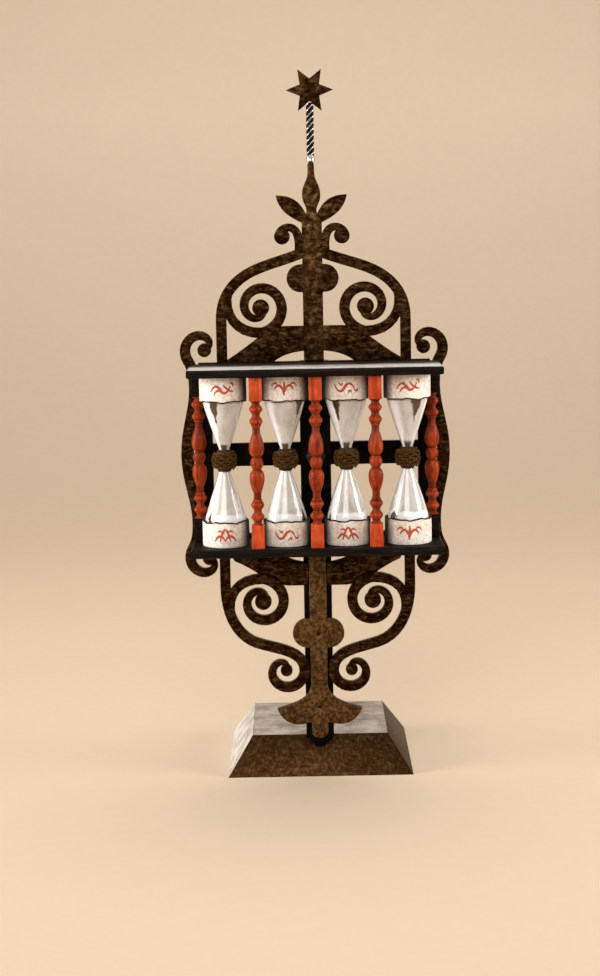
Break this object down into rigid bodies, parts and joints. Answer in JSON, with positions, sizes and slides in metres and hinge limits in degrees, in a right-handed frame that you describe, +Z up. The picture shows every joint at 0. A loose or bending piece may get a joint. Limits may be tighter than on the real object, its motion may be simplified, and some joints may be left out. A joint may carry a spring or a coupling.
{
  "type": "pulpit hourglass",
  "caption": "Row of sandglasses in a case of turned balusters that turns end over end on a pivot, in a wrought-iron scrollwork stand with a star finial and a sloping iron plinth.",
  "frame": {"origin": "middle of the plinth's underside", "axes": "+X to the right as seen from the front, -Y towards the front, where the case of glasses hangs, +Z up towards the star"},
  "size_m": [0.257, 0.232, 0.6766],
  "materials": {
    "plinth_iron": "brown patina, waxed to a sheen",
    "brown_iron": "forged, dark brown, worn lighter on the raised parts",
    "black_iron": "blackened",
    "twisted_steel": "bright twisted bar, dark in the hollows",
    "steel": "dull steel",
    "black_wood": "ebonised, semi-gloss",
    "red_wood": "orange-red stain under varnish",
    "glass": "clear blown glass with a faint grey tint",
    "paper": "matt white paper with red pen flourishes",
    "cord": "waxed brown cord",
    "leather": "dark brown, matt",
    "sand": "fine, pale and matt"
  },
  "bodies": {
    "stand": {"plinth": "plinth_iron", "post": "black_iron", "top_rail": "black_iron", "bottom_rail": "black_iron", "left_upright": "black_iron", "right_upright": "black_iron", "cross_bar": "black_iron", "upper_stem": "brown_iron", "left_leaf": "brown_iron", "right_leaf": "brown_iron", "left_upper_arch": "brown_iron", "right_upper_arch": "brown_iron", "left_upper_s_bar": "brown_iron", "right_upper_s_bar": "brown_iron", "left_upper_scroll": "brown_iron", "right_upper_scroll": "brown_iron", "left_side_scroll": "brown_iron", "right_side_scroll": "brown_iron", "lower_stem": "brown_iron", "left_lower_arch": "brown_iron", "right_lower_arch": "brown_iron", "left_lower_s_bar": "brown_iron", "right_lower_s_bar": "brown_iron", "left_lower_scroll": "brown_iron", "right_lower_scroll": "brown_iron", "twisted_rod": "twisted_steel", "star": "brown_iron", "pivot_pin": "steel", "pivot_washers": "steel", "pivot_key": "steel", "rivets": "black_iron"},
    "case": {"top_plate": "black_wood", "bottom_plate": "black_wood", "back_strap": "black_iron", "strap_nails": "steel", "left_end_baluster": "red_wood", "left_baluster": "red_wood", "middle_baluster": "red_wood", "right_baluster": "red_wood", "right_end_baluster": "red_wood", "glass_1_upper_bulb": "glass", "glass_1_lower_bulb": "glass", "glass_1_paper_caps": "paper", "glass_1_waist_cord": "cord", "glass_2_upper_bulb": "glass", "glass_2_lower_bulb": "glass", "glass_2_paper_caps": "paper", "glass_2_waist_cord": "cord", "glass_3_upper_bulb": "glass", "glass_3_lower_bulb": "glass", "glass_3_paper_caps": "paper", "glass_3_waist_cord": "cord", "glass_4_upper_bulb": "glass", "glass_4_lower_bulb": "glass", "glass_4_paper_caps": "paper", "glass_4_waist_cord": "cord", "waist_sleeves": "leather", "diaphragms": "leather", "sand": "sand"}
  },
  "joints": [
    {"name": "case_pivot", "type": "hinge", "parent": "stand", "child": "case", "pos_m": [0, -0.08005, 0.3165], "axis": [0, 1, 0], "continuous": true}
  ]
}
